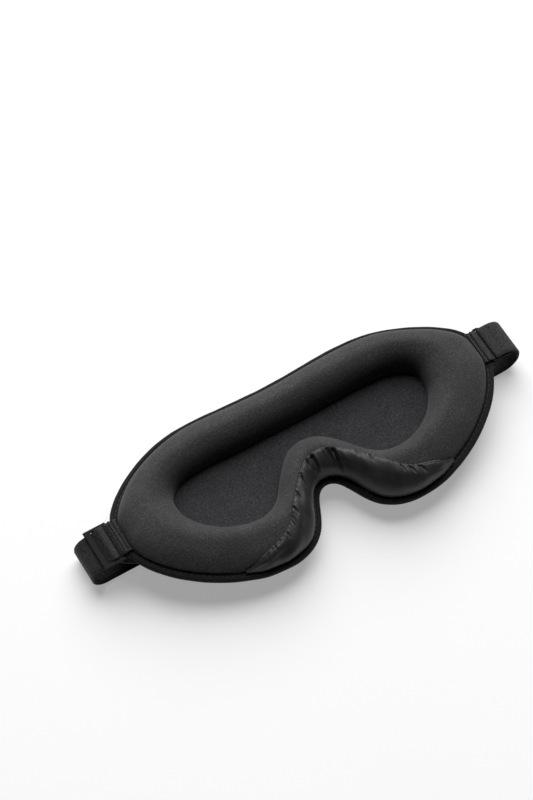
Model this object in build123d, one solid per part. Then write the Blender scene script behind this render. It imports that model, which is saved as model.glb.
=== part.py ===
from build123d import *
from functools import lru_cache
import math
import os

# Contoured sleep eye mask, in millimetres.
# +Z points at the wearer's face, +Y at the forehead. The mask lies on its front with the strap
# folded under it, and the origin is on the surface below the middle of the mask.

# ---------------------------------------------------------------- driving dimensions
MASK_HALF_LENGTH = 111.5      # middle of the mask to the end of the binding
BIND_Z = 11.2                 # height of the binding's middle plane at x = 0
BEND_RADIUS = 784.0           # the mask curves up towards the face at its ends
SLAB = 140.0                  # larger than the mask, for cutting tools

BINDING_WIDTH = 4.0
BINDING_HALF = 1.8            # half the binding's thickness
FLANGE_INSET = 1.0            # covers reach this near the outline, inside the binding
FLANGE = 0.8                  # thickness of each cover's flange

FRONT_STEPS = ((4.3, -3.6, -0.1), (6.5, -5.8, -3.6), (10.0, -7.2, -5.8))   # inset, low, high
FRONT_SKIN = 0.8
LINING_LOW, LINING_TOP = -2.8, -2.0
FOAM_GAP = 0.1

CUSHION_BASE = -1.9
CUSHION_SHOULDER = 8.0
CUSHION_TOP = 14.0
CUSHION_INSET = (5.3, 9.0)    # lower and upper tier, from the outline
CUSHION_RECESS = (9.5, 13.5)  # the same beside the nose, where the flap lies over the cushion
CAVITY_LEAN = 3.0             # the cavity widens by this much in the upper tier
CUSHION_SKIN = 1.1

FLAP_INSET = 4.7
FLAP_LOW, FLAP_TOP = 1.6, 15.4
FLAP_GAP = 0.35
FLAP_SKIN = 1.0
HEM_WIDTH = 1.5
HEM_LOW, HEM_TOP = 14.6, 15.1

THREAD = 0.5                  # width of a seam's thread
THREAD_RISE = 0.2

STRAP_Y = 6.5                 # the strap runs a little above the middle of the mask
STRAP_WIDTH = 20.0
STRAP_THICK = 1.1
TAB_THICK = 0.8
TAB_RISE = 2.7                # middle of a tab layer above the binding's middle plane
TAB_START = 107.4

BAR_RADIUS = 0.75
PIN_X = 112.9                 # bars held in the tabs, the axes of the buckle and the ring
HARDWARE_HALF = 11.75         # half the outer width of buckle and ring
RAIL_WIDTH = 1.4              # width of the buckle's side rails
RING_OUTER_X = 116.65         # middle of the ring's outer bar
BUCKLE_MIDDLE_X = 116.65      # middle of the buckle's centre bar
BUCKLE_END_X = 125.2          # outer edge of the buckle
BUCKLE_LIP = 3.6              # width of the buckle's flat outer bar
STRAP_GAP = 0.2               # strap to bar
TAB_GAP = 0.05                # tab to bar, a running fit

CURL_X = 122.6                # where each curl of the strap starts
TAIL_END_X = 62.0
HEM_LENGTH = 11.0
HEM_THICK = 2.2

# Right half of the outline, from the strap's end to the middle.
TOP_EDGE = [(111, 15), (109.3, 19.5), (100.5, 28.5), (91.5, 35.3), (81.4, 41.2), (71.5, 45.2),
            (61, 48.3), (43, 50.1), (0, 49)]
LOW_EDGE = [(110.6, -6), (105.4, -16.5), (98, -25), (91.6, -30.4), (81.4, -37.6), (71.3, -42.9),
            (61, -46.9), (50.9, -49.4), (40, -50), (29, -48.3), (20.4, -43.7), (12.2, -33),
            (6.1, -20.8), (0, -18.2)]
# Right half of the eye cavity, from the forehead to the bridge of the nose.
CAVITY = [(0, 23.2), (24, 23.3), (48, 23.2), (64, 21.5), (72, 17), (75.3, 9.5), (71.5, -4),
          (62, -14.5), (50, -20.4), (38, -20.4), (27, -13), (19, -3), (10, 4.9), (0, 6.8)]
# Right half of the nose flap's gathered top edge, from its tip to the bridge of the nose.
FLAP_EDGE = [(64, -42.5), (54, -40.8), (45, -37.5), (36, -32), (27, -23), (19, -14), (10, -5.2),
             (0, -1.8)]


# ---------------------------------------------------------------- helpers
def mirrored(half):
    """The points of a right half followed by their mirror images, left to right."""
    left = [(-x, y) for x, y in half if x != 0]
    return left + half[::-1]


def bend_z(x):
    """Height of the binding's middle plane at x."""
    return BIND_Z + BEND_RADIUS - math.sqrt(BEND_RADIUS ** 2 - x ** 2)


def outline():
    top = Spline(*mirrored(TOP_EDGE))
    low = Spline(*mirrored(LOW_EDGE))
    right = ThreePointArc(TOP_EDGE[0], (MASK_HALF_LENGTH, 4.5), LOW_EDGE[0])
    left = mirror(right, about=Plane.YZ)
    return make_face([top, right, low, left])


@lru_cache
def inset(distance):
    """The outline moved inwards, as plain splines."""
    return offset(OUTLINE, -distance).to_splines().face()


@lru_cache
def hole(distance):
    """The eye cavity's edge moved outwards, as plain splines."""
    return offset(HOLE, distance).to_splines().face()


def closed_half(points):
    """A face inside the closed smooth curve through a right half and its mirror image."""
    loop = points + [(-x, y) for x, y in points[-2:0:-1]]
    return make_face(Spline(*loop, periodic=True))


def below_hem(drop):
    """Everything on the nose side of the flap's top edge, lowered by drop."""
    edge = [(x, y - drop) for x, y in mirrored(FLAP_EDGE)]
    hem = Spline(*edge)
    box = Polyline(edge[-1], (edge[-1][0], -SLAB / 2), (edge[0][0], -SLAB / 2), edge[0])
    return make_face([hem, *box.edges()])


def bent_line(level):
    """The mask's bend in the XZ plane, at a level above the binding's middle plane."""
    radius = BEND_RADIUS - level
    centre = BIND_Z + BEND_RADIUS
    side = centre - math.sqrt(radius ** 2 - SLAB ** 2)
    return ThreePointArc((-SLAB, side), (0, centre - radius), (SLAB, side))


@lru_cache
def band(low, high):
    """A slab bent like the mask, from low to high above the binding's middle plane."""
    under, over = bent_line(low), bent_line(high)
    profile = make_face([under, Line(under @ 1, over @ 1), over, Line(over @ 0, under @ 0)])
    upright = Pos(0, SLAB / 2, 0) * Rot(90, 0, 0) * profile
    return extrude(upright, SLAB, dir=(0, -1, 0))


def layer(face, low, high):
    """The part of a bent slab that lies over a flat face."""
    column = extrude(Pos(0, 0, -SLAB / 2) * face, SLAB, dir=(0, 0, 1))
    return column & band(low, high)


def rim(outer, inner):
    return inset(outer) - inset(inner)


def ribbon(points, radii, thickness, width, middle):
    """A flat strip of webbing along a path in the XZ plane."""
    path = FilletPolyline(*[(x, z) for x, z in points], radius=radii)
    flat = trace(path, thickness)
    upright = Pos(0, middle + width / 2, 0) * Rot(90, 0, 0) * flat
    return extrude(upright, width, dir=(0, -1, 0))


def bar(x, z, radius, length, middle=STRAP_Y):
    return Pos(x, middle, z) * Rot(90, 0, 0) * Cylinder(radius, length)


def solid_box(low, high):
    size = [b - a for a, b in zip(low, high)]
    centre = [(a + b) / 2 for a, b in zip(low, high)]
    return Pos(*centre) * Box(*size)


def save(name, *shapes):
    solids = [s for shape in shapes for s in shape.solids()]
    whole = solids[0] if len(solids) == 1 else Compound(children=solids)
    export_step(whole, f"parts/{name}.step")


# ---------------------------------------------------------------- front
def front_levels(gap):
    """The crowned front, as steps; gap shrinks it sideways and from below."""
    steps = [layer(inset(s + gap), low + gap, high) for s, low, high in FRONT_STEPS]
    return steps[0] + steps[1] + steps[2]


def front_cover():
    flange = layer(rim(FLANGE_INSET, FRONT_STEPS[0][0] + 0.5), -0.1 - FLANGE, -0.1)
    well = layer(inset(FRONT_STEPS[0][0] + FRONT_SKIN), FRONT_STEPS[0][1] + FRONT_SKIN, 0)
    middle = layer(inset(FRONT_STEPS[1][0] + FRONT_SKIN), FRONT_STEPS[1][1] + FRONT_SKIN, 0)
    floor = layer(inset(FRONT_STEPS[2][0] + FRONT_SKIN), FRONT_STEPS[2][1] + FRONT_SKIN, 0)
    return front_levels(0) + flange - well - middle - floor


def front_foam():
    inner = FRONT_SKIN + FOAM_GAP
    top = LINING_LOW - FOAM_GAP
    middle = layer(inset(FRONT_STEPS[1][0] + inner), FRONT_STEPS[1][1] + inner, top)
    floor = layer(inset(FRONT_STEPS[2][0] + inner), FRONT_STEPS[2][1] + inner, top)
    return middle + floor


def eye_lining():
    return layer(inset(FRONT_STEPS[0][0] + FRONT_SKIN + FOAM_GAP), LINING_LOW + 0.05, LINING_TOP)


# ---------------------------------------------------------------- cushion
def cushion_levels(skin):
    """The ring round the eyes in two tiers, set back where the nose flap covers it."""
    nose = below_hem(-0.6)
    low_in, high_in = (s + skin for s in CUSHION_INSET)
    low_back, high_back = (s + skin for s in CUSHION_RECESS)
    foot = layer(inset(low_in) - hole(skin), CUSHION_BASE, 1)
    low = inset(low_in) - (nose - inset(low_back)) - hole(skin)
    high = inset(high_in) - (nose - inset(high_back)) - hole(CAVITY_LEAN + skin)
    lower = layer(low, 1, CUSHION_SHOULDER - skin)
    upper = layer(high, CUSHION_SHOULDER - skin, CUSHION_TOP - skin)
    return foot + lower + upper


def cushion_cover():
    flange = layer(rim(FLANGE_INSET, CUSHION_INSET[0] + 0.5), 0, FLANGE)
    return cushion_levels(0) + flange - cushion_levels(CUSHION_SKIN)


def cushion_foam():
    return cushion_levels(CUSHION_SKIN + FOAM_GAP)


# ---------------------------------------------------------------- edge and seams
def edge_binding():
    tape = layer(rim(0, BINDING_WIDTH), -BINDING_HALF, BINDING_HALF)
    slot = layer(rim(FLANGE_INSET - 0.1, BINDING_WIDTH + 0.5), -FLANGE - 0.15, FLANGE + 0.1)
    return tape - slot


def binding_thread():
    line = rim(2.7, 2.7 + THREAD)
    above = layer(line, BINDING_HALF, BINDING_HALF + THREAD_RISE)
    below = layer(line, -BINDING_HALF - THREAD_RISE, -BINDING_HALF)
    return above, below


def lining_thread():
    line = hole(-0.1) - hole(-0.1 - THREAD)
    return layer(line, LINING_TOP, LINING_TOP + THREAD_RISE)


def flap_thread():
    line = rim(3.4, 3.4 + THREAD) & below_hem(0.5)
    return layer(line, BINDING_HALF, BINDING_HALF + THREAD_RISE)


# ---------------------------------------------------------------- nose flap
def cushion_clearance(gap):
    """The space that the flap's inner side keeps away from."""
    low_back, high_back = (s - gap for s in CUSHION_RECESS)
    low = layer(inset(low_back), -5, CUSHION_SHOULDER + gap)
    high = layer(inset(high_back), -5, CUSHION_TOP + gap)
    return low + high


def flap_blank(skin):
    face = inset(FLAP_INSET + skin) & below_hem(2 * skin)
    block = layer(face, FLAP_LOW + skin, FLAP_TOP - 2 * skin)
    return block - cushion_clearance(FLAP_GAP + skin)


def nose_flap_elastic():
    strip = below_hem(0.6) - below_hem(0.6 + HEM_WIDTH)
    reach = Rectangle(84, SLAB)
    return layer(strip & reach & inset(CUSHION_RECESS[1] + 0.2), HEM_LOW, HEM_TOP)


def largest(shape):
    return max(shape.solids(), key=lambda s: s.volume)


def nose_flap():
    elastic = largest(nose_flap_elastic())
    pad = largest(flap_blank(FLAP_SKIN))
    cover = largest(flap_blank(0) - pad - elastic)
    return cover, pad, elastic


# ---------------------------------------------------------------- strap ends
def tab(side):
    """A webbing tab sewn over and under the binding and wrapped round a bar."""
    radius = BAR_RADIUS + TAB_GAP + TAB_THICK / 2
    lean = math.radians(50)
    tip = PIN_X + radius / math.cos(lean)
    shoulder_z = TAB_RISE - 0.35
    shoulder_x = tip - shoulder_z * math.tan(lean)
    z = PIN_Z
    start = bend_z(TAB_START)
    points = [(side * TAB_START, start + TAB_RISE), (side * shoulder_x, z + shoulder_z),
              (side * tip, z), (side * shoulder_x, z - shoulder_z),
              (side * TAB_START, start - TAB_RISE)]
    return ribbon(points, [0.6, radius, 0.6], TAB_THICK, STRAP_WIDTH, STRAP_Y)


def bar_tacks(side):
    """Two rows of dense stitching across the top of a tab."""
    rows = []
    for x in (108.2, 110.0):
        z = bend_z(x + 0.9) + TAB_RISE + TAB_THICK / 2 + 0.05
        low = (min(side * x, side * (x + 1.3)), STRAP_Y - 9.5, z)
        high = (max(side * x, side * (x + 1.3)), STRAP_Y + 9.5, z + 0.5)
        rows.append(solid_box(low, high))
    return rows


def strap_ring():
    """A slim rectangular ring: the tab holds its inner bar, the strap its outer one."""
    rail = HARDWARE_HALF - BAR_RADIUS
    path = FilletPolyline((PIN_X, -rail), (RING_OUTER_X, -rail), (RING_OUTER_X, rail),
                          (PIN_X, rail), radius=1.2, close=True)
    start = path @ 0
    tangent = path % 0
    section = Plane(origin=start, z_dir=tangent) * Circle(BAR_RADIUS)
    return Pos(0, STRAP_Y, PIN_Z) * sweep(section, path)


def slider_buckle():
    """A three-bar slide: the tab holds one bar and the strap is threaded through the others."""
    lip_low = BUCKLE_END_X - BUCKLE_LIP
    rails = []
    for y in (-1, 1):
        near = STRAP_Y + y * (HARDWARE_HALF - RAIL_WIDTH)
        far = STRAP_Y + y * HARDWARE_HALF
        rails.append(solid_box((-BUCKLE_END_X + 0.7, min(near, far), PIN_Z - BAR_RADIUS),
                               (-PIN_X, max(near, far), PIN_Z + BAR_RADIUS)))
    lip = solid_box((-BUCKLE_END_X, STRAP_Y - HARDWARE_HALF, PIN_Z - BAR_RADIUS),
                    (-lip_low, STRAP_Y + HARDWARE_HALF, PIN_Z + BAR_RADIUS))
    lip = fillet(lip.edges().filter_by(Axis.Y), 0.6)
    ends = bar(-PIN_X, PIN_Z, BAR_RADIUS, 2 * HARDWARE_HALF)
    centre = bar(-BUCKLE_MIDDLE_X, PIN_Z, BAR_RADIUS, 2 * HARDWARE_HALF - 1)
    frame = rails[0] + rails[1] + lip
    frame = fillet(frame.edges().filter_by(Axis.Z).group_by(Axis.X)[-1], 0.5)
    return frame + ends + centre


def elastic_strap():
    """One band of elastic: threaded through the buckle, folded under, sewn round the ring."""
    half = STRAP_THICK / 2
    wrap = BAR_RADIUS + STRAP_GAP + half
    curl_left = (PIN_Z - wrap - half) / 2
    curl_right = (PIN_Z + wrap - half) / 2
    tail_z = STRAP_THICK + 0.3 + half
    slot_x = BUCKLE_MIDDLE_X - wrap
    points = [
        (-TAIL_END_X, tail_z), (-104.5, tail_z), (-slot_x + 0.5, 13.5),
        (-slot_x, PIN_Z + wrap), (-BUCKLE_MIDDLE_X - 1.1, PIN_Z + wrap),
        (-BUCKLE_END_X + BUCKLE_LIP + 0.25, PIN_Z - wrap),
        (-CURL_X - curl_left, PIN_Z - wrap), (-CURL_X - curl_left, half),
        (CURL_X + curl_right - 2.9, half), (CURL_X + curl_right - 2.9, PIN_Z + wrap),
        (RING_OUTER_X - wrap, PIN_Z + wrap), (RING_OUTER_X - wrap, PIN_Z - wrap),
        (125.5, PIN_Z - wrap - 0.1),
    ]
    radii = [5.0, 6.0, 1.1, 1.1, 1.1, 7.9, 7.9, 9.4, 9.4, 1.1, 1.6]
    return ribbon(points, radii, STRAP_THICK, STRAP_WIDTH, STRAP_Y)


def fold_stitches():
    """The row of stitches that closes the strap's fold round the ring."""
    top = PIN_Z + BAR_RADIUS + STRAP_GAP + STRAP_THICK
    rows = []
    for i in range(7):
        y = STRAP_Y + (i - 3) * 2.8
        rows.append(solid_box((120.9, y - 0.9, top + 0.02), (121.4, y + 0.9, top + 0.3)))
    return rows


def strap_end_hem():
    """The strap's loose end, folded over and sewn so that it can't slip out of the buckle."""
    low = STRAP_THICK + 0.3
    block = solid_box((-TAIL_END_X + 0.3, STRAP_Y - STRAP_WIDTH / 2, low),
                      (-TAIL_END_X + 0.3 + HEM_LENGTH, STRAP_Y + STRAP_WIDTH / 2, low + HEM_THICK))
    return fillet(block.edges().filter_by(Axis.Y), 0.5)


def strap_end_stitches():
    top = STRAP_THICK + 0.3 + HEM_THICK
    rows = []
    for i in range(7):
        y = STRAP_Y + (i - 3) * 2.8
        x = -TAIL_END_X + 3.0
        rows.append(solid_box((x, y - 0.9, top + 0.01), (x + 0.5, y + 0.9, top + 0.2)))
    return rows


# ---------------------------------------------------------------- build
os.makedirs("parts", exist_ok=True)
PIN_Z = bend_z(PIN_X)
OUTLINE = outline()
HOLE = closed_half(CAVITY)

save("front_cover", front_cover())
save("front_foam", front_foam())
save("eye_lining", eye_lining())
save("cushion_cover", cushion_cover())
save("cushion_foam", cushion_foam())
save("edge_binding", edge_binding())
save("binding_thread", *binding_thread())
save("lining_thread", lining_thread())
save("nose_flap_thread", flap_thread())

FLAP_COVER, FLAP_PAD, FLAP_ELASTIC = nose_flap()
save("nose_flap_cover", FLAP_COVER)
save("nose_flap_pad", FLAP_PAD)
save("nose_flap_elastic", FLAP_ELASTIC)

for name, side in (("left", -1), ("right", 1)):
    save(f"strap_tab_{name}", tab(side))
    save(f"bar_tack_{name}", *bar_tacks(side))

save("slider_buckle", slider_buckle())
save("strap_ring", strap_ring())
save("elastic_strap", elastic_strap())
save("strap_fold_stitches", *fold_stitches())
save("strap_end_hem", strap_end_hem())
save("strap_end_stitches", *strap_end_stitches())
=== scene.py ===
"""The looks of a contoured sleep eye mask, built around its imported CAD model.

The mask lies on its front with the strap folded under it: +Z points at the wearer's face, +Y at
the forehead. Shapes are worked out in millimetres, like the CAD model, and written in metres.
"""
import math

import bmesh
import bpy
import numpy as np
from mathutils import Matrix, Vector, noise


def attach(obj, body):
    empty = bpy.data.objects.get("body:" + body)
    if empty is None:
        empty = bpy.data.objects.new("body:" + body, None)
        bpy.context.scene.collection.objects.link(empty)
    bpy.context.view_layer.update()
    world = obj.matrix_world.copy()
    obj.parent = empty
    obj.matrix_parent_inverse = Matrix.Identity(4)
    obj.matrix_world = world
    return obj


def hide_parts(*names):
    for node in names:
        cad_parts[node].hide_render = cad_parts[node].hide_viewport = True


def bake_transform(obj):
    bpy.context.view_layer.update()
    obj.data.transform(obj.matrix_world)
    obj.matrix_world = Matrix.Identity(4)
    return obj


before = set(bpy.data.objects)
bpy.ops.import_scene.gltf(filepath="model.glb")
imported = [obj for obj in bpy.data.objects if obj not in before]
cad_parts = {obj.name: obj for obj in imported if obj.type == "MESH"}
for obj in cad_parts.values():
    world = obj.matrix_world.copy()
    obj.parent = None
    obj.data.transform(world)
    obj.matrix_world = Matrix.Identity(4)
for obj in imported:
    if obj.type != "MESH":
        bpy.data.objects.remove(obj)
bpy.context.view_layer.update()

MM = 0.001

# ---------------------------------------------------------------- sizes, as in the CAD model (mm)
BIND_Z = 11.2
BEND_RADIUS = 784.0
BINDING_WIDTH = 4.2
BINDING_HALF = 1.8
STITCH_INSET = 2.9
STITCH_PITCH = 3.0

STRAP_Y = 6.5
STRAP_WIDTH = 20.6
STRAP_THICK = 1.1
STRAP_GAP = 0.2
BAR_RADIUS = 0.75
PIN_X = 112.9
RING_OUTER_X = 116.65
BUCKLE_MIDDLE_X = 116.65
BUCKLE_END_X = 125.2
BUCKLE_LIP = 3.6
CURL_X = 122.6
TAIL_END_X = 62.0
HEM_LENGTH = 11.0
HEM_THICK = 2.2
TAB_THICK = 0.8
TAB_GAP = 0.05
TAB_RISE = 2.7
TAB_START = 107.4

# Matching points of the outline and of the eye cavity's edge, right half, forehead to nose.
OUTLINE = [(0, 49), (22, 49.6), (43, 50.1), (61, 48.3), (76, 43.5), (91.5, 35.3), (103, 26.2),
           (110.2, 16), (111.5, 4.5), (110.6, -6), (103, -19.3), (91.6, -30.4), (77, -40.1),
           (61, -46.9), (50.9, -49.4), (40, -50), (29, -48.3), (20.4, -43.7), (15.3, -38.3),
           (12.2, -33), (9.2, -26.8), (5.5, -20.8), (0, -18.2)]
CAVITY = [(0, 23.2), (22, 23.3), (44, 23.3), (57, 22.6), (65.5, 20.7), (71.2, 17.4), (74.3, 13.4),
          (75.4, 9), (75, 3.5), (73.6, -0.8), (70.3, -6), (65.8, -11), (59.3, -15.6),
          (51.5, -18.8), (45, -20), (38.5, -19.6), (32, -17), (26.8, -12.6), (22, -6.3),
          (17, -0.2), (11.5, 5.4), (6, 8.3), (0, 9.3)]
# How far up the cushion the nose flap reaches beside those points, as a share, on each side.
FLAP_RIGHT = {13: 0.125, 14: 0.265, 15: 0.35, 16: 0.535, 17: 0.61, 18: 0.605, 19: 0.575,
              20: 0.5, 21: 0.445, 22: 0.39}
FLAP_LEFT = {13: 0.08, 14: 0.215, 15: 0.305, 16: 0.415, 17: 0.535, 18: 0.52, 19: 0.48,
             20: 0.445, 21: 0.395, 22: 0.39}
# Folds of the gathered flap: place along the outline, width and depth in mm, share of the flap
# that it runs down, and how far it leans on the way (mm).
FOLDS = [(14.6, 1.0, 1.6, 0.4, -2), (15.1, 0.8, 1.8, 0.35, -2), (15.5, 0.7, 1.0, 0.3, 0),
         (17.3, 0.8, 0.8, 0.2, 0), (18.4, 0.9, 0.6, 0.2, 0), (20.75, 0.8, 4.0, 0.9, 2.0),
         (21.2, 0.9, 1.6, 0.5, 1), (22.3, 0.8, 3.6, 0.7, -1.0), (22.75, 0.7, 1.6, 0.4, 0),
         (24.1, 0.7, 2.0, 0.45, 3), (26.0, 0.7, 1.2, 0.25, 0), (27.2, 0.8, 1.0, 0.25, 0),
         (28.6, 0.7, 1.2, 0.25, 0), (29.5, 0.6, 1.0, 0.25, 0)]
FLAP_TIP = 12.75

CUSHION_FOOT = 0.5            # cushion's outer foot above the binding's middle plane
CUSHION_TOP = 14.0
LINING_LEVEL = -2.0
FRONT_FOOT = -0.6
FRONT_DEPTH = -7.2
FRONT_ROUNDING = 15.0


# ---------------------------------------------------------------- curves
def both_halves(half):
    """A closed list of points from its right half, which starts and ends on the mirror line."""
    return np.array(half + [(-x, y) for x, y in half[-2:0:-1]], float)


def smooth(points, t):
    """The smooth closed curve through points, read at t, which counts points."""
    n = len(points)
    pull = (4 * np.eye(n) + np.roll(np.eye(n), 1, 1) + np.roll(np.eye(n), -1, 1)) / 6
    control = np.linalg.solve(pull, points)
    t = np.asarray(t, float)
    i = np.floor(t).astype(int)
    f = (t - i)[..., None]
    weights = ((1 - f) ** 3, 3 * f ** 3 - 6 * f ** 2 + 4, -3 * f ** 3 + 3 * f ** 2 + 3 * f + 1,
               f ** 3)
    return sum(w * control[(i + k - 1) % n] for k, w in enumerate(weights)) / 6


OUTLINE_LOOP = both_halves(OUTLINE)
CAVITY_LOOP = both_halves(CAVITY)
STATIONS = len(OUTLINE_LOOP)
LAST = len(OUTLINE) - 1       # the station at the bridge of the nose


def edge(t):
    return smooth(OUTLINE_LOOP, t)


def hole(t):
    return smooth(CAVITY_LOOP, t)


def inward(t):
    along = edge(t + 0.01) - edge(t - 0.01)
    normal = np.stack([along[..., 1], -along[..., 0]], -1)
    return normal / np.linalg.norm(normal, axis=-1, keepdims=True)


def inset(t, distance):
    return edge(t) + inward(t) * distance


def lifted(xy, level):
    """Points at a level above the binding's middle plane, which bends up at its ends."""
    x = xy[..., 0]
    z = BIND_Z + BEND_RADIUS - np.sqrt((BEND_RADIUS - level) ** 2 - x ** 2)
    return np.stack([x, xy[..., 1], z], -1)


def even_steps(curve, start, end, pitch, dense=6000):
    """Values of t, evenly spaced along a curve, and the length that they cover."""
    t = np.linspace(start, end, dense)
    length = np.concatenate([[0], np.cumsum(np.linalg.norm(np.diff(curve(t), axis=0), axis=1))])
    count = max(2, round(length[-1] / pitch))
    return np.interp(np.arange(count) / count * length[-1], length, t), length[-1]


# ---------------------------------------------------------------- meshes
def mesh_object(name, vertices, faces, uv=None):
    """A smooth-shaded mesh from points in millimetres; uv is one pair for each vertex."""
    mesh = bpy.data.meshes.new(name)
    mesh.from_pydata((np.asarray(vertices) * MM).tolist(), [], faces)
    mesh.polygons.foreach_set("use_smooth", [True] * len(mesh.polygons))
    if uv is not None:
        layer = mesh.uv_layers.new(name="length")
        corner = np.empty(len(mesh.loops), int)
        mesh.loops.foreach_get("vertex_index", corner)
        layer.data.foreach_set("uv", (np.asarray(uv) * MM)[corner].ravel())
    mesh.validate()
    piece = bpy.data.objects.new(name, mesh)
    bpy.context.scene.collection.objects.link(piece)
    return piece


def grid_faces(rows, columns, close_rows, close_columns, first=0):
    faces = []
    for i in range(rows if close_rows else rows - 1):
        for j in range(columns if close_columns else columns - 1):
            a, b = i * columns, (i + 1) % rows * columns
            k = (j + 1) % columns
            faces.append((first + a + j, first + a + k, first + b + k, first + b + j))
    return faces


def tidy(piece):
    """Welds points that coincide and turns every face outwards."""
    work = bmesh.new()
    work.from_mesh(piece.data)
    bmesh.ops.remove_doubles(work, verts=work.verts, dist=0.00002)
    bmesh.ops.recalc_face_normals(work, faces=work.faces)
    work.to_mesh(piece.data)
    work.free()
    return piece


def subdivided(piece, levels=1):
    modifier = piece.modifiers.new("subdivision", "SUBSURF")
    modifier.levels = modifier.render_levels = levels
    bpy.context.view_layer.objects.active = piece
    bpy.ops.object.modifier_apply(modifier=modifier.name)
    return piece


def ring_object(name, rows):
    """A closed ring from rows of points: rows[i][j] is profile point i at step j round it."""
    count, steps = rows.shape[:2]
    faces = grid_faces(count, steps, True, True)
    return tidy(mesh_object(name, rows.reshape(-1, 3), faces))


def softened(points, amount, scale, seed):
    """Moves points by a smooth random amount, for the unevenness of padding (mm)."""
    shift = Vector((seed * 17.3, seed * 5.1, seed * 9.7))
    flat = points.reshape(-1, 3)
    moves = [noise.noise_vector(Vector(p) / scale + shift) for p in flat]
    return (flat + np.array(moves) * amount).reshape(points.shape)


# ---------------------------------------------------------------- cushion
INNER_MOST = 16.0
BULGE = 0.7
# At some of the outline's points: where the crest lies, as a share of the cushion's width, and
# how full the padding is outside it.
CREST_AT = [(0, 0.5, 2.05), (7, 0.52, 2.0), (10, 0.6, 1.8), (13, 0.68, 1.65), (16, 0.66, 1.7),
            (19, 0.58, 1.8), (22, 0.52, 1.8)]


def crest(t, column):
    """The crest's share of the width (column 1) or the padding's fullness (column 2)."""
    folded = np.where(t > LAST, STATIONS - t, t)
    places = [row[0] for row in CREST_AT]
    values = [row[column] for row in CREST_AT]
    near = [np.interp(folded + shift, places, values) for shift in (-1.0, -0.5, 0, 0.5, 1.0)]
    return np.mean(near, axis=0)


def cushion_span(t, shrink=0.0):
    """Foot of the cushion, direction across it, and width, at each t."""
    foot = inset(t, BINDING_WIDTH + shrink)
    across = hole(t) - foot
    width = np.linalg.norm(across, axis=-1, keepdims=True)
    return foot, across / width, width - shrink


def cushion_point(t, share, rise, shrink=0.0):
    """A point of the cushion's top at a share of the way from its foot to the cavity.

    rise moves it out along the surface's own tilt."""
    foot, across, width = cushion_span(t, shrink)
    width = width[..., 0]
    share_out, full = crest(t, 1), crest(t, 2)
    outer, inner = share_out * width, np.minimum((1 - share_out) * width, INNER_MOST)
    d = np.clip(share, 0, 1) * width
    top = CUSHION_TOP - shrink
    up = 1 - np.clip(d / outer, 0, 1)
    down = 1 - np.clip((width - d) / inner, 0, 1)
    rising = (1 - up ** full) ** (1 / full)
    falling = (1 - down ** 2.1) ** (1 / 2.1)
    low = np.where(d < outer, CUSHION_FOOT + shrink, LINING_LEVEL)
    curve = np.where(d < outer, rising, np.where(d > width - inner, falling, 1.0))
    level = low + (top - low) * curve
    flat = np.clip((d - outer * 0.6) / np.maximum(width - outer * 0.6 - inner * 0.6, 1), 0, 1)
    level = level + 0.5 * np.sin(np.pi * flat) ** 2
    lean = np.where(d < outer, -BULGE * np.sin(np.pi * curve) * (curve < 1), 0.0)
    lean = lean + np.where(d > width - inner, 0.5 * np.sin(np.pi * curve), 0.0)
    tilt = np.where(d < outer, -up ** 1.2, np.where(d > width - inner, down ** 1.2, 0.0))
    upward = np.sqrt(1 - tilt ** 2)
    xy = foot + across * (d + lean + rise * tilt)[..., None]
    return lifted(xy, level + rise * upward)


def cushion_rows(t, shrink=0.0):
    quarter = np.sin(np.linspace(0, 1, 15) * np.pi / 2)
    _, _, width = cushion_span(t, shrink)
    width = width[..., 0]
    outer = crest(t, 1)
    inner = np.minimum((1 - outer) * width, INNER_MOST) / width
    shares = [outer * (1 - math.cos(a) ** 0.93) for a in np.linspace(0, math.pi / 2, 15)]
    middle = (1 - inner) - outer
    shares += [outer + middle * k for k in (0.25, 0.5, 0.75)]
    shares += [1 - inner * (1 - math.cos(a) ** 0.9)
               for a in np.linspace(math.pi / 2, 0, 14)]
    rows = [cushion_point(t, s, 0.0, shrink) for s in shares]
    foot, across, full = cushion_span(t, shrink)
    rows.append(lifted(hole(t), LINING_LEVEL - 0.4 + 0 * t))
    rows.append(lifted(foot + across * 3, LINING_LEVEL - 0.4 + 0 * t))
    rows.append(lifted(foot + across * 0.6, CUSHION_FOOT - 0.7 + 0 * t))
    return np.array(rows)


def make_cushion():
    t = np.arange(STATIONS * 7) / 7.0
    rows = softened(cushion_rows(t), 0.35, 22.0, 1)
    cover = subdivided(ring_object("cushion_cover_knit", rows))
    core = ring_object("cushion_foam_ring", cushion_rows(t, 1.6))
    return cover, core


# ---------------------------------------------------------------- front and lining
SPINE_HALF, SPINE_Y = 66.0, 12.0
ACROSS = 26


def plate_rows(curve, steps=70):
    """Points that fill a closed curve: each row runs from its top edge over a spine to its
    lower edge. The spine's ends point at the curve's ends, so that no faces fold over."""
    share = np.linspace(0, 1, steps)
    top, low = 8 * share, LAST - (LAST - 8) * share
    fall = 3 * share ** 2 - 2 * share ** 3
    spine = np.stack([SPINE_HALF * share, SPINE_Y + (curve(8.0)[1] - SPINE_Y) * fall], -1)
    mix = np.linspace(0, 1, ACROSS)[:, None, None] ** 1.25
    upper = curve(top) * (1 - mix) + spine * mix
    lower = curve(low) * (1 - mix) + spine * mix
    right = np.concatenate([upper, lower[-2::-1]])
    left = right[:, :0:-1] * (-1, 1)
    return np.concatenate([left, right], axis=1)


def edge_distance(xy):
    """How far each point lies inside the outline."""
    ring = edge(np.linspace(0, STATIONS, 1500, endpoint=False))
    flat = xy.reshape(-1, 1, 2)
    near = [np.sqrt(((flat[k:k + 400] - ring) ** 2).sum(-1).min(-1))
            for k in range(0, len(flat), 400)]
    return np.concatenate(near).reshape(xy.shape[:-1])


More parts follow.
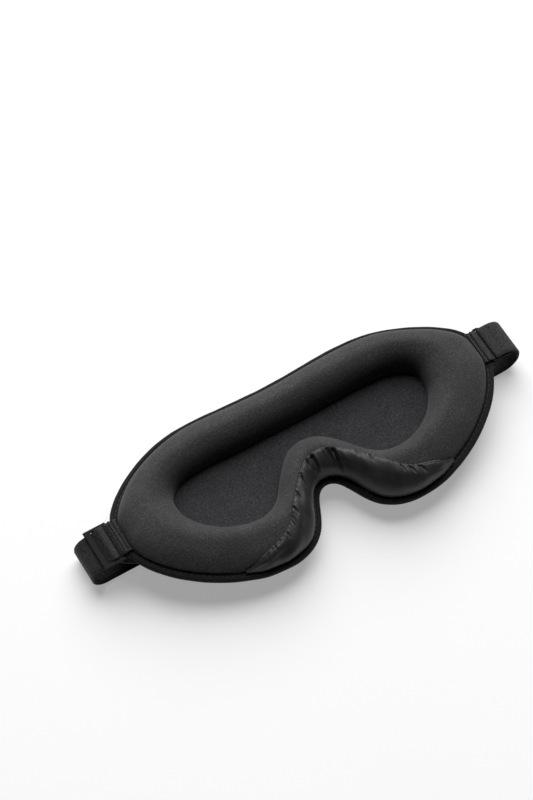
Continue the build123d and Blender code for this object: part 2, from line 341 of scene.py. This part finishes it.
def plate_object(name, lower, upper, pinched=False):
    """A closed plate between two grids of points.

    Pinched ends fold onto themselves, so they have no wall."""
    rows, columns = lower.shape[:2]
    faces = grid_faces(rows, columns, False, False)
    faces += [f[::-1] for f in grid_faces(rows, columns, False, False, rows * columns)]
    loop = [(0, j) for j in range(columns)] + [(i, columns - 1) for i in range(1, rows)]
    loop += [(rows - 1, j) for j in range(columns - 2, -1, -1)]
    loop += [(i, 0) for i in range(rows - 2, 0, -1)]
    ids = [i * columns + j for i, j in loop]
    for a, b in zip(ids, ids[1:] + ids[:1]):
        in_end = a // columns != b // columns
        if not (pinched and in_end):
            faces.append((b, a, a + rows * columns, b + rows * columns))
    points = np.concatenate([lower.reshape(-1, 3), upper.reshape(-1, 3)])
    return tidy(mesh_object(name, points, faces))


def crown(distance, depth, foot):
    """The front's level at a distance from its foot: a rounded edge, then nearly flat."""
    far = np.clip(distance / FRONT_ROUNDING, 0, 1)
    round_edge = (1 - (1 - far) ** 2.3) ** (1 / 2.3)
    return foot + (depth + 0.35 - foot) * round_edge - 0.35 * np.clip(distance / 40, 0, 1)


def make_front():
    xy = plate_rows(lambda t: inset(t, BINDING_WIDTH - 0.2))
    distance = np.maximum(edge_distance(xy) - BINDING_WIDTH + 0.2, 0)
    lower = softened(lifted(xy, crown(distance, FRONT_DEPTH, FRONT_FOOT)), 0.25, 30.0, 2)
    upper = lifted(xy, np.where(distance > 1, -2.9, FRONT_FOOT + 0.3) + 0 * distance)
    cover = subdivided(plate_object("front_cover_knit", lower, upper, pinched=True))
    xy = plate_rows(lambda t: inset(t, BINDING_WIDTH + 3), steps=50)
    distance = np.maximum(edge_distance(xy) - BINDING_WIDTH - 1.6, 0)
    lower = lifted(xy, np.minimum(crown(distance, FRONT_DEPTH + 1.3, -1.6), -3.2))
    upper = lifted(xy, -3.0 + 0 * distance)
    core = plate_object("front_foam_board", lower, upper, pinched=True)
    return cover, core


def make_lining():
    xy = plate_rows(lambda t: hole(t) + (hole(t) - CAVITY_CENTRE) * 0.04, steps=60)
    away = np.linalg.norm((xy - (0, SPINE_Y)) / (78, 22), axis=-1)
    dish = 0.5 * np.cos(np.clip(away, 0, 1) * np.pi)
    top = softened(lifted(xy, LINING_LEVEL - 0.15 + dish), 0.3, 18.0, 3)
    under = lifted(xy, LINING_LEVEL - 0.8 + 0 * dish)
    return plate_object("eye_lining_knit", under, top, pinched=True)


CAVITY_CENTRE = np.array([0.0, 9.0])


# ---------------------------------------------------------------- binding and its stitches
def make_binding():
    t, length = even_steps(edge, 0, STATIONS, 1.5)
    along = np.arange(len(t)) / len(t) * length
    pucker = 0.5 + 0.5 * np.cos(2 * np.pi * along / STITCH_PITCH)
    wave = np.array([noise.noise(Vector((a / 9.0, 3.1, 0))) for a in along])
    profile = [(4.25, 0.4), (4.2, 1.2), (3.8, 1.62), (3.35, 1.66), (2.9, 1.38), (2.45, 1.68),
               (1.8, 1.84), (1.1, 1.74), (0.5, 1.4), (0.12, 0.8), (0.0, 0.0)]
    rows = []
    for side in (1, -1):
        half = profile if side > 0 else profile[-2::-1]
        for distance, level in half:
            deep = 0.28 * pucker if abs(distance - STITCH_INSET) < 0.1 else 0.05 * pucker
            puff = (1 - deep / max(level, 0.5)) * (1 + 0.07 * wave)
            xy = edge(t) + inward(t) * (distance - 0.15 * wave * (distance < 1))[:, None]
            rows.append(lifted(xy, side * level * puff))
    return subdivided(ring_object("edge_binding_tape", np.array(rows)))


def capsule(radius, length, sides=7, rings=3):
    """Points and faces of a small rounded stitch lying along X."""
    rows = []
    for end in (-1, 1):
        angles = np.linspace(math.pi / 2, 0, rings) if end < 0 else np.linspace(0, math.pi / 2, rings)
        for a in angles:
            x = end * (length / 2 - radius + radius * math.sin(a))
            r = max(radius * math.cos(a), radius * 0.05)
            rows.append([(x, r * math.cos(b), r * math.sin(b))
                         for b in np.arange(sides) * 2 * math.pi / sides])
    points = np.array(rows)
    faces = grid_faces(len(rows), sides, False, True)
    faces += [tuple(range(sides))[::-1], tuple(range((len(rows) - 1) * sides, len(rows) * sides))]
    return points.reshape(-1, 3), faces


def stitches(name, places, radius):
    """One object of many stitches; each place is (middle, direction, up, length)."""
    points, faces = [], []
    for middle, direction, up, length in places:
        shape, sides = capsule(radius, length)
        x = np.array(direction, float) / np.linalg.norm(direction)
        y = np.cross(up, x)
        y /= np.linalg.norm(y)
        z = np.cross(x, y)
        start = len(points) * len(shape)
        faces += [tuple(k + start for k in f) for f in sides]
        points.append(np.array(middle) + shape @ np.array([x, y, z]))
    return mesh_object(name, np.concatenate(points), faces)


def seam_places(start, end, distance, level, pitch, length):
    t, _ = even_steps(lambda s: inset(s, distance), start, end, pitch)
    middle = lifted(inset(t, distance), level + 0 * t)
    ahead = lifted(inset(t + 0.02, distance), level + 0 * t)
    return [(m, a - m, (0, 0, 1), length) for m, a in zip(middle, ahead)]


def make_binding_stitches():
    places = seam_places(0, STATIONS, STITCH_INSET, 1.32, STITCH_PITCH, 2.3)
    places += seam_places(0, STATIONS, STITCH_INSET, -1.32, STITCH_PITCH, 2.3)
    return stitches("binding_topstitch", places, 0.24)


def make_lining_seam():
    t, length = even_steps(hole, 0, STATIONS, 1.2)
    centre = lifted(hole(t), LINING_LEVEL + 0.12 + 0 * t)
    outward = hole(t + 0.01) - hole(t - 0.01)
    outward = np.stack([-outward[:, 1], outward[:, 0], 0 * t], -1)
    outward /= np.linalg.norm(outward, axis=1, keepdims=True)
    turn = np.arange(6) * math.pi / 3
    rows = [centre + outward * 0.32 * math.cos(a) + np.array([0, 0, 0.32 * math.sin(a)])
            for a in turn]
    return ring_object("lining_seam_cord", np.array(rows))


# ---------------------------------------------------------------- nose flap
FLAP_STEPS, FLAP_ROWS = 640, 38
FLAP_PUFF, FLAP_HEM_PUFF = 2.6, 1.5


def flap_reach(t):
    """Share of the cushion's width that the flap covers, from 0 at its tips."""
    knots = [FLAP_TIP] + sorted(FLAP_RIGHT)
    knots += [2 * LAST - k for k in sorted(FLAP_LEFT, reverse=True)[1:]] + [2 * LAST - FLAP_TIP]
    values = [0.0] + [FLAP_RIGHT[k] for k in sorted(FLAP_RIGHT)]
    values += [FLAP_LEFT[k] for k in sorted(FLAP_LEFT, reverse=True)[1:]] + [0.0]
    near = [np.interp(t + shift, knots, values) for shift in (-0.4, -0.2, 0, 0.2, 0.4)]
    return np.mean(near, axis=0)


def gathers(along, v, places):
    """Wrinkles that run down from the flap's gathered hem."""
    total = np.zeros(np.broadcast(along, v).shape)
    for place, (_, wide, deep, reach, lean) in zip(places, FOLDS):
        fade = np.clip((v - (1 - reach)) / reach, 0, 1) ** 0.8
        away = np.abs(along - place - lean * (1 - v)) / wide
        crease = 0.35 * np.exp(-((away - 1.7) / 0.8) ** 2) - np.exp(-away ** 1.3)
        total = total + deep * fade * crease
    small = np.array([[noise.noise(Vector((a / 1.6, k * 1.3, 0.4))) for a in along[0]]
                      for k in v[:, 0]])
    return total + 0.3 * small * np.clip((v - 0.45) / 0.55, 0, 1) ** 1.5


def flap_grid(shrink):
    t = np.linspace(FLAP_TIP + 0.02, 2 * LAST - FLAP_TIP - 0.02, FLAP_STEPS)
    hem = cushion_point(t, flap_reach(t), 1.0)
    steps = np.concatenate([[0], np.cumsum(np.linalg.norm(np.diff(hem, axis=0), axis=1))])
    along = steps[None, :] * np.ones((FLAP_ROWS, 1))
    v = np.linspace(0, 1, FLAP_ROWS)[:, None] * np.ones((1, FLAP_STEPS))
    reach = flap_reach(t)[None, :]
    size = np.clip(reach / 0.3, 0, 1) ** 0.8
    puff = FLAP_PUFF * np.sin(np.pi * v ** 0.8) ** 0.7 + FLAP_HEM_PUFF * np.clip(v * 2 - 1, 0, 1)
    billow = 0.4 * np.array([[noise.noise(Vector((a / 9.0, k * 2.2, 7.7))) for a in along[0]]
                             for k in v[:, 0]])
    folds = gathers(along, v, np.interp([f[0] for f in FOLDS], t, steps))
    rise = np.maximum(0.7 + size * (puff * (1 + billow) + folds), 0.55) - shrink
    tt = np.broadcast_to(t, v.shape)
    inner = cushion_point(tt, v * reach, 0.3 + shrink * 0.5)
    outer = cushion_point(tt, v * reach, np.maximum(rise, 0.45 + shrink * 0.5))
    return t, inner, outer


def make_flap():
    t, inner, outer = flap_grid(0.0)
    cover = plate_object("nose_flap_satin", inner, outer)
    _, core_in, core_out = flap_grid(0.8)
    keep = (slice(4, -6), slice(40, -40))
    core = plate_object("nose_flap_wadding", core_in[keep], core_out[keep])
    hem = outer[-1] * 0.5 + inner[-1] * 0.5
    return cover, core, make_hem(hem)


def make_hem(line):
    """The rolled hem at the flap's top edge, with the elastic inside it."""
    steps = np.arange(len(line))
    along = np.gradient(line, axis=0)
    along /= np.linalg.norm(along, axis=1, keepdims=True)
    side = np.cross(along, (0, 0, 1.0))
    side /= np.linalg.norm(side, axis=1, keepdims=True)
    up = np.cross(side, along)
    crimp = np.array([noise.noise(Vector((s / 5.0, 1.0, 2.0))) for s in steps])
    radius = (0.85 + 0.35 * crimp) * np.clip(np.minimum(steps, steps[::-1]) / 30, 0.25, 1)
    turn = np.arange(8) * math.pi / 4
    rows = np.array([line + side * (radius * math.cos(a))[:, None]
                     + up * (0.1 + radius * math.sin(a))[:, None] for a in turn])
    faces = grid_faces(8, len(line), True, False)
    faces.append(tuple(k * len(line) for k in range(8)))
    faces.append(tuple(k * len(line) + len(line) - 1 for k in range(7, -1, -1)))
    return tidy(mesh_object("nose_flap_hem", rows.reshape(-1, 3), faces))


def make_flap_seam():
    start, end = FLAP_TIP + 0.2, 2 * LAST - FLAP_TIP - 0.2
    return stitches("nose_flap_seam", seam_places(start, end, 3.75, 1.45, 2.6, 1.9), 0.2)


# ---------------------------------------------------------------- straps
def filleted(points, radii, step=0.35):
    """Points along straight runs joined by arcs, in the XZ plane."""
    points = [np.array(p, float) for p in points]
    path = [points[0]]
    for before, corner, after, radius in zip(points, points[1:], points[2:], radii):
        a = (before - corner) / np.linalg.norm(before - corner)
        b = (after - corner) / np.linalg.norm(after - corner)
        half = math.acos(np.clip(a @ b, -1, 1)) / 2
        back = radius / math.tan(half)
        centre = corner + (a + b) / np.linalg.norm(a + b) * radius / math.sin(half)
        first, last = corner + a * back - centre, corner + b * back - centre
        turn = math.pi - 2 * half
        side = np.sign(first[0] * last[1] - first[1] * last[0])
        for k in range(max(3, math.ceil(radius * turn / step)) + 1):
            angle = side * turn * k / max(3, math.ceil(radius * turn / step))
            c, s = math.cos(angle), math.sin(angle)
            path.append(centre + (first[0] * c - first[1] * s, first[0] * s + first[1] * c))
    path.append(points[-1])
    dense = [path[0]]
    for p in path[1:]:
        gap = np.linalg.norm(p - dense[-1])
        count = max(1, math.ceil(gap / 1.5))
        start = dense[-1]
        dense += [start + (p - start) * k / count for k in range(1, count + 1)]
    return np.array(dense)


def strip_object(name, path, thickness, width, wobble=0.06):
    """A closed strip of webbing along a path in the XZ plane, with rounded edges and a UV map
    in metres of length and width."""
    ahead = np.gradient(path, axis=0)
    ahead /= np.linalg.norm(ahead, axis=1, keepdims=True)
    normal = np.stack([-ahead[:, 1], ahead[:, 0]], -1)
    length = np.concatenate([[0], np.cumsum(np.linalg.norm(np.diff(path, axis=0), axis=1))])
    half, h = thickness / 2, width / 2
    ribs = np.linspace(-h + 0.5, h - 0.5, 9)
    profile = [(y, half) for y in ribs] + [(h - 0.1, half * 0.6), (h, 0), (h - 0.1, -half * 0.6)]
    profile += [(y, -half) for y in ribs[::-1]]
    profile += [(-h + 0.1, -half * 0.6), (-h, 0), (-h + 0.1, half * 0.6)]
    edge_noise = np.array([noise.noise(Vector((s / 4.0, 0.7, len(name)))) for s in length])
    rows, uv = [], []
    for y, n in profile:
        shift = wobble * edge_noise * (abs(y) > h - 0.3)
        xz = path + normal * n
        rows.append(np.stack([xz[:, 0], STRAP_Y + y + shift, xz[:, 1]], -1))
        uv.append(np.stack([length, np.full_like(length, y + (30 if n < 0 else 0))], -1))
    rows = np.array(rows)
    count, steps = rows.shape[:2]
    faces = grid_faces(count, steps, True, False)
    faces.append(tuple(k * steps for k in range(count)))
    faces.append(tuple(k * steps + steps - 1 for k in range(count - 1, -1, -1)))
    piece = mesh_object(name, rows.reshape(-1, 3), faces, np.array(uv).reshape(-1, 2))
    return tidy(piece)


def bend_z(x):
    return BIND_Z + BEND_RADIUS - math.sqrt(BEND_RADIUS ** 2 - x ** 2)


PIN_Z = bend_z(PIN_X)
WRAP = BAR_RADIUS + STRAP_GAP + STRAP_THICK / 2


def strap_route():
    """The strap's corners and radii, from its loose end to its fold round the ring."""
    half = STRAP_THICK / 2
    curl_left = (PIN_Z - WRAP - half) / 2
    curl_right = (PIN_Z + WRAP - half) / 2
    tail_z = STRAP_THICK + 0.3 + half
    slot_x = BUCKLE_MIDDLE_X - WRAP
    left = [(-TAIL_END_X, tail_z), (-104.5, tail_z), (-slot_x + 0.5, 13.5),
            (-slot_x, PIN_Z + WRAP), (-BUCKLE_MIDDLE_X - 1.1, PIN_Z + WRAP),
            (-BUCKLE_END_X + BUCKLE_LIP + 0.25, PIN_Z - WRAP),
            (-CURL_X - curl_left, PIN_Z - WRAP), (-CURL_X - curl_left, half), (0, half)]
    right = [(0, half), (CURL_X + curl_right - 2.9, half),
             (CURL_X + curl_right - 2.9, PIN_Z + WRAP), (RING_OUTER_X - WRAP, PIN_Z + WRAP),
             (RING_OUTER_X - WRAP, PIN_Z - WRAP), (125.5, PIN_Z - WRAP - 0.1)]
    return left, [5.0, 6.0, 1.1, 1.1, 1.1, 7.9, 7.9], right, [9.4, 9.4, 1.1, 1.6]


def make_straps():
    left, left_radii, right, right_radii = strap_route()
    path = filleted(left, left_radii)
    cut = next(k for k, p in enumerate(path) if p[0] < -100)
    tail = strip_object("strap_tail", path[:cut + 1], STRAP_THICK, STRAP_WIDTH)
    near = strip_object("strap_buckle_half", path[cut:], STRAP_THICK, STRAP_WIDTH)
    path = filleted(right, right_radii)
    far = strip_object("strap_ring_half", path, STRAP_THICK, STRAP_WIDTH)
    return tail, near, far


def make_tab(side, name):
    radius = BAR_RADIUS + TAB_GAP + TAB_THICK / 2
    lean = math.radians(50)
    tip = PIN_X + radius / math.cos(lean)
    shoulder_z = TAB_RISE - 0.35
    shoulder_x = tip - shoulder_z * math.tan(lean)
    start = bend_z(TAB_START)
    points = [(side * TAB_START, start + TAB_RISE), (side * shoulder_x, PIN_Z + shoulder_z),
              (side * tip, PIN_Z), (side * shoulder_x, PIN_Z - shoulder_z),
              (side * TAB_START, start - TAB_RISE)]
    path = filleted(points, [0.6, radius, 0.6], step=0.25)
    return strip_object(name, path, TAB_THICK, STRAP_WIDTH - 0.3)


def make_bar_tack(side, name):
    """Two raised rows of dense zigzag stitches across the tab."""
    places = []
    for x in (108.75, 110.75):
        z = bend_z(x) + TAB_RISE + TAB_THICK / 2 + 0.28
        count = 31
        for k in range(count):
            y = STRAP_Y - 9.6 + 19.2 * k / (count - 1)
            uneven = noise.noise(Vector((k * 0.9, x, side)))
            slant = (0.5 if k % 2 else -0.5) + 0.3 * uneven
            middle = (side * (x + 0.25 * uneven), y, z + 0.12 * uneven)
            places.append((middle, (1, slant, 0), (0, 0, 1), 1.75))
    return stitches(name, places, 0.34)


def stitch_row(x, z, count=7, pitch=2.8, length=1.9):
    ys = STRAP_Y + (np.arange(count) - (count - 1) / 2) * pitch
    return [((x, y, z), (0, 1, 0), (0, 0, 1), length) for y in ys]


def make_strap_end():
    low = STRAP_THICK + 0.3
    x = -TAIL_END_X + 0.3
    mid = low + HEM_THICK / 2
    half = STRAP_THICK / 2
    path = filleted([(x, low + half), (x + HEM_LENGTH - 0.6, low + half),
                     (x + HEM_LENGTH - 0.6, low + HEM_THICK - half), (x, low + HEM_THICK - half)],
                    [0.54, 0.54], step=0.15)
    hem = strip_object("strap_end_fold", path, STRAP_THICK - 0.05, STRAP_WIDTH)
    rows = stitch_row(x + 3.0, mid + HEM_THICK / 2 + 0.05)
    return hem, stitches("strap_end_topstitch", rows, 0.2)


# ---------------------------------------------------------------- materials
class Nodes:
    """A short way to write a material's node tree."""

    def __init__(self, name):
        self.material = bpy.data.materials.new(name)
        self.material.use_nodes = True
        self.tree = self.material.node_tree
        self.shader = self.tree.nodes["Principled BSDF"]

    def add(self, kind, **values):
        node = self.tree.nodes.new(kind)
        for key, value in values.items():
            if hasattr(node, key):
                setattr(node, key, value)
            else:
                node.inputs[key.replace("_", " ").capitalize()].default_value = value
        return node

    def link(self, out, target):
        self.tree.links.new(out, target)

    def set(self, **values):
        for key, value in values.items():
            self.shader.inputs[key.replace("_", " ")].default_value = value

    def object_place(self):
        return self.add("ShaderNodeTexCoord").outputs["Object"]

    def noise(self, place, scale, detail=2.0, roughness=0.5):
        node = self.add("ShaderNodeTexNoise")
        node.inputs["Scale"].default_value = scale
        node.inputs["Detail"].default_value = detail
        node.inputs["Roughness"].default_value = roughness
        self.link(place, node.inputs["Vector"])
        return node.outputs["Fac"]

    def cells(self, place, scale, randomness=1.0):
        node = self.add("ShaderNodeTexVoronoi")
        node.inputs["Scale"].default_value = scale
        node.inputs["Randomness"].default_value = randomness
        self.link(place, node.inputs["Vector"])
        return node.outputs["Distance"]

    def ramp(self, value, stops):
        node = self.add("ShaderNodeValToRGB")
        elements = node.color_ramp.elements
        while len(elements) < len(stops):
            elements.new(0.5)
        for element, (position, color) in zip(elements, stops):
            element.position = position
            element.color = (*color, 1)
        self.link(value, node.inputs["Fac"])
        return node.outputs["Color"]

    def math(self, operation, a, b):
        node = self.add("ShaderNodeMath", operation=operation)
        for k, value in enumerate((a, b)):
            if isinstance(value, (int, float)):
                node.inputs[k].default_value = value
            else:
                self.link(value, node.inputs[k])
        return node.outputs[0]

    def bump(self, height, strength, distance, before=None):
        node = self.add("ShaderNodeBump")
        node.inputs["Strength"].default_value = strength
        node.inputs["Distance"].default_value = distance
        self.link(height, node.inputs["Height"])
        if before is not None:
            self.link(before, node.inputs["Normal"])
        return node.outputs["Normal"]


def knit(name, dark, light, sheen, speckle=1500.0, grain=0.3):
    """A brushed knit: fine loops, a mottled dye and a soft nap."""
    n = Nodes(name)
    place = n.object_place()
    fine = n.noise(place, speckle, 3.0, 0.7)
    broad = n.noise(place, 60.0, 3.0, 0.6)
    loops = n.cells(place, 1100.0, 0.6)
    mottle = n.math("ADD", n.math("MULTIPLY", fine, 0.85), n.math("MULTIPLY", broad, 0.15))
    color = n.ramp(mottle, [(0.38, dark), (0.52, light), (0.68, tuple(2.0 * c for c in light))])
    n.link(color, n.shader.inputs["Base Color"])
    first = n.bump(loops, grain, 0.0004)
    n.link(n.bump(fine, grain, 0.0003, first), n.shader.inputs["Normal"])
    rough = n.math("ADD", n.math("MULTIPLY", fine, 0.15), 0.82)
    n.link(rough, n.shader.inputs["Roughness"])
    n.set(Specular_IOR_Level=0.25, Sheen_Weight=sheen, Sheen_Roughness=0.45)
    return n.material


def woven(name, dark, light, rib_pitch, cross_pitch, sheen=0.25, rough=0.75):
    """Ribbed elastic or webbing, drawn along the strip's own length."""
    n = Nodes(name)
    uv = n.add("ShaderNodeUVMap", uv_map="length").outputs["UV"]
    split = n.add("ShaderNodeSeparateXYZ")
    n.link(uv, split.inputs[0])
    turn = 2 * math.pi / MM
    wobble = n.noise(n.object_place(), 400.0, 2.0)
    along = n.math("ADD", n.math("MULTIPLY", split.outputs["X"], turn / rib_pitch),
                   n.math("MULTIPLY", wobble, 1.5))
    rib = n.math("SINE", along, 0.0)
    cross = n.math("SINE", n.math("MULTIPLY", split.outputs["Y"], turn / cross_pitch), 0.0)
    fuzz = n.noise(n.object_place(), 1500.0, 3.0, 0.7)
    weave = n.math("MULTIPLY", n.math("ADD", rib, 1.2), n.math("ADD", cross, 1.6))
    mixed = n.math("ADD", n.math("MULTIPLY", weave, 0.018), n.math("MULTIPLY", fuzz, 0.9))
    color = n.ramp(mixed, [(0.4, dark), (0.6, light)])
    n.link(color, n.shader.inputs["Base Color"])
    first = n.bump(weave, 0.1, 0.0002)
    n.link(n.bump(fuzz, 0.6, 0.0003, first), n.shader.inputs["Normal"])
    n.set(Roughness=rough, Specular_IOR_Level=0.3, Sheen_Weight=sheen, Sheen_Roughness=0.4)
    return n.material


def tape(name):
    """The binding: a fine ribbed tape with a napped surface."""
    n = Nodes(name)
    place = n.object_place()
    fuzz = n.noise(place, 1300.0, 3.0, 0.75)
    twill = n.cells(place, 1500.0, 0.4)
    color = n.ramp(fuzz, [(0.4, (0.003, 0.003, 0.004)), (0.66, (0.016, 0.016, 0.018))])
    n.link(color, n.shader.inputs["Base Color"])
    first = n.bump(twill, 0.5, 0.0003)
    n.link(n.bump(fuzz, 0.5, 0.0003, first), n.shader.inputs["Normal"])
    n.set(Roughness=0.8, Specular_IOR_Level=0.25, Sheen_Weight=0.04, Sheen_Roughness=0.4)
    return n.material


def satin(name):
    """Smooth dense cloth with a soft gloss."""
    n = Nodes(name)
    place = n.object_place()
    weave = n.noise(place, 2200.0, 2.0, 0.6)
    broad = n.noise(place, 120.0, 3.0, 0.6)
    color = n.ramp(broad, [(0.3, (0.022, 0.022, 0.024)), (0.7, (0.036, 0.036, 0.039))])
    n.link(color, n.shader.inputs["Base Color"])
    first = n.bump(weave, 0.15, 0.0001)
    n.link(n.bump(broad, 0.25, 0.0006, first), n.shader.inputs["Normal"])
    rough = n.math("ADD", n.math("MULTIPLY", weave, 0.12), 0.38)
    n.link(rough, n.shader.inputs["Roughness"])
    n.set(Specular_IOR_Level=0.32, Sheen_Weight=0.05, Sheen_Roughness=0.3)
    return n.material


def thread(name):
    n = Nodes(name)
    twist = n.noise(n.object_place(), 2500.0, 2.0, 0.6)
    color = n.ramp(twist, [(0.35, (0.005, 0.005, 0.006)), (0.65, (0.06, 0.06, 0.062))])
    n.link(color, n.shader.inputs["Base Color"])
    n.link(n.bump(twist, 0.7, 0.0003), n.shader.inputs["Normal"])
    n.set(Roughness=0.5, Specular_IOR_Level=0.35)
    return n.material


def plastic(name):
    n = Nodes(name)
    grain = n.noise(n.object_place(), 1800.0, 2.0, 0.5)
    wear = n.noise(n.object_place(), 200.0, 3.0, 0.6)
    color = n.ramp(wear, [(0.3, (0.004, 0.004, 0.005)), (0.8, (0.009, 0.009, 0.010))])
    n.link(color, n.shader.inputs["Base Color"])
    n.link(n.bump(grain, 0.2, 0.0001), n.shader.inputs["Normal"])
    n.link(n.math("ADD", n.math("MULTIPLY", wear, 0.2), 0.45), n.shader.inputs["Roughness"])
    n.set(Specular_IOR_Level=0.12)
    return n.material


def foam(name, dark, light):
    n = Nodes(name)
    pores = n.cells(n.object_place(), 1400.0)
    n.link(n.ramp(pores, [(0.1, dark), (0.6, light)]), n.shader.inputs["Base Color"])
    n.link(n.bump(pores, 0.6, 0.0004), n.shader.inputs["Normal"])
    n.set(Roughness=0.95, Specular_IOR_Level=0.2)
    return n.material


def dress(piece, material):
    piece.data.materials.clear()
    piece.data.materials.append(material)
    return piece


# ---------------------------------------------------------------- stage
def make_floor():
    """A pale sheet that curves up behind the mask. It also glows evenly: painted light that lightens
    the shadows cast on it.
    """
    depth = [(-2.5, 0), (3.6, 0)]
    rows = [(y, z) for y, z in depth]
    rows += [(3.6 + 0.8 * math.sin(a), 0.8 - 0.8 * math.cos(a))
             for a in np.linspace(0.1, math.pi / 2, 12)]
    rows.append((4.4, 4.0))
    points = [(x, y, z - 0.00005) for y, z in rows for x in (-4.0, 4.0)]
    mesh = bpy.data.meshes.new("floor")
    mesh.from_pydata(points, [], grid_faces(len(rows), 2, False, False))
    mesh.polygons.foreach_set("use_smooth", [True] * len(mesh.polygons))
    floor = bpy.data.objects.new("floor", mesh)
    bpy.context.scene.collection.objects.link(floor)
    n = Nodes("floor_paint")
    mottle = n.noise(n.object_place(), 6.0)
    n.link(n.ramp(mottle, [(0.3, (0.735, 0.735, 0.738)), (0.7, (0.744, 0.744, 0.746))]),
           n.shader.inputs["Base Color"])
    # Emission: the floor glows as painted light, which lifts the shadows on it and lights the mask from
    # below.
    n.set(Roughness=0.9, Specular_IOR_Level=0.1, Emission_Color=(1, 1, 1, 1), Emission_Strength=0.33)
    dress(floor, n.material)


def area_light(name, place, target, size, power):
    lamp = bpy.data.lights.new(name, "AREA")
    lamp.shape = "DISK"
    lamp.size = size
    lamp.energy = power
    light = bpy.data.objects.new(name, lamp)
    bpy.context.scene.collection.objects.link(light)
    light.location = place
    light.rotation_euler = (Vector(target) - Vector(place)).to_track_quat("-Z", "Y").to_euler()


def make_studio():
    area_light("key", (1.05, 1.95, 2.45), (0, 0, 0), 4.0, 168)
    world = bpy.data.worlds.new("studio")
    bpy.context.scene.world = world
    world.use_nodes = True
    world.node_tree.nodes["Background"].inputs["Color"].default_value = (1, 1, 1, 1)
    world.node_tree.nodes["Background"].inputs["Strength"].default_value = 0.02
    bpy.context.scene.view_settings.view_transform = "Standard"


def make_camera():
    camera = bpy.data.objects.new("camera", bpy.data.cameras.new("camera"))
    bpy.context.scene.collection.objects.link(camera)
    camera.data.sensor_width = 36.0
    camera.data.lens = 119.3
    camera.location = (-0.3528, -0.549, 1.244)
    target = Vector((0.0022, 0.047, 0.0))
    camera.rotation_euler = (target - camera.location).to_track_quat("-Z", "Y").to_euler()
    camera.data.clip_end = 20
    bpy.context.scene.camera = camera


# ---------------------------------------------------------------- assembly
make_camera()
make_studio()
make_floor()

FRONT = knit("front_knit", (0.010, 0.009, 0.013), (0.024, 0.022, 0.029), 0.05)
CUSHION = knit("cushion_knit", (0.030, 0.029, 0.030), (0.052, 0.050, 0.052), 0.1)
LINING = knit("lining_knit", (0.018, 0.017, 0.019), (0.034, 0.032, 0.035), 0.04, 1200.0)
BINDING = tape("binding_tape")
ELASTIC = woven("ribbed_elastic", (0.004, 0.004, 0.004), (0.048, 0.047, 0.048), 1.1, 0.9, 0.04)
WEBBING = woven("webbing", (0.004, 0.004, 0.005), (0.062, 0.061, 0.063), 0.9, 0.7, 0.04)
THREAD = thread("black_thread")
SATIN = satin("flap_satin")
PLASTIC = plastic("black_plastic")
FOAM = foam("black_foam", (0.02, 0.02, 0.02), (0.07, 0.07, 0.07))
WADDING = foam("wadding", (0.07, 0.07, 0.07), (0.2, 0.2, 0.2))

cushion, cushion_core = make_cushion()
front, front_core = make_front()
lining = make_lining()
for piece, material, node in (
        (cushion, CUSHION, "cushion_cover"), (cushion_core, FOAM, "cushion_foam"),
        (front, FRONT, "front_cover"), (front_core, FOAM, "front_foam"),
        (lining, LINING, "eye_lining"), (make_binding(), BINDING, "edge_binding"),
        (make_binding_stitches(), THREAD, "binding_thread"),
        (make_lining_seam(), THREAD, "lining_thread"),
        (make_flap_seam(), THREAD, "nose_flap_thread"),
        (make_tab(-1, "buckle_tab"), WEBBING, "strap_tab_left"),
        (make_tab(1, "ring_tab"), WEBBING, "strap_tab_right"),
        (make_bar_tack(-1, "buckle_bar_tack"), THREAD, "bar_tack_left"),
        (make_bar_tack(1, "ring_bar_tack"), THREAD, "bar_tack_right")):
    dress(piece, material)
    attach(piece, "mask")
    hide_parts(node)

flap, flap_core, flap_hem = make_flap()
for piece, material, node in ((flap, SATIN, "nose_flap_cover"), (flap_core, WADDING, "nose_flap_pad"),
                              (flap_hem, SATIN, "nose_flap_elastic")):
    dress(piece, material)
    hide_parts(node)
    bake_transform(piece)

tail, near, far = make_straps()
for piece in (tail, near, far):
    dress(piece, ELASTIC)
    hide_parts("elastic_strap")
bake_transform(tail)
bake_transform(near)
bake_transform(far)

fold_row = stitches("strap_fold_topstitch",
                    stitch_row(121.2, PIN_Z + BAR_RADIUS + STRAP_GAP + STRAP_THICK + 0.06), 0.22)
dress(fold_row, THREAD)
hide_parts("strap_fold_stitches")
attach(fold_row, "ring")

hem, hem_row = make_strap_end()
for piece, material, node in ((hem, ELASTIC, "strap_end_hem"), (hem_row, THREAD, "strap_end_stitches")):
    dress(piece, material)
    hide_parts(node)
    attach(piece, "strap_end")

for node in ("strap_ring", "slider_buckle"):
    dress(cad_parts[node], PLASTIC)
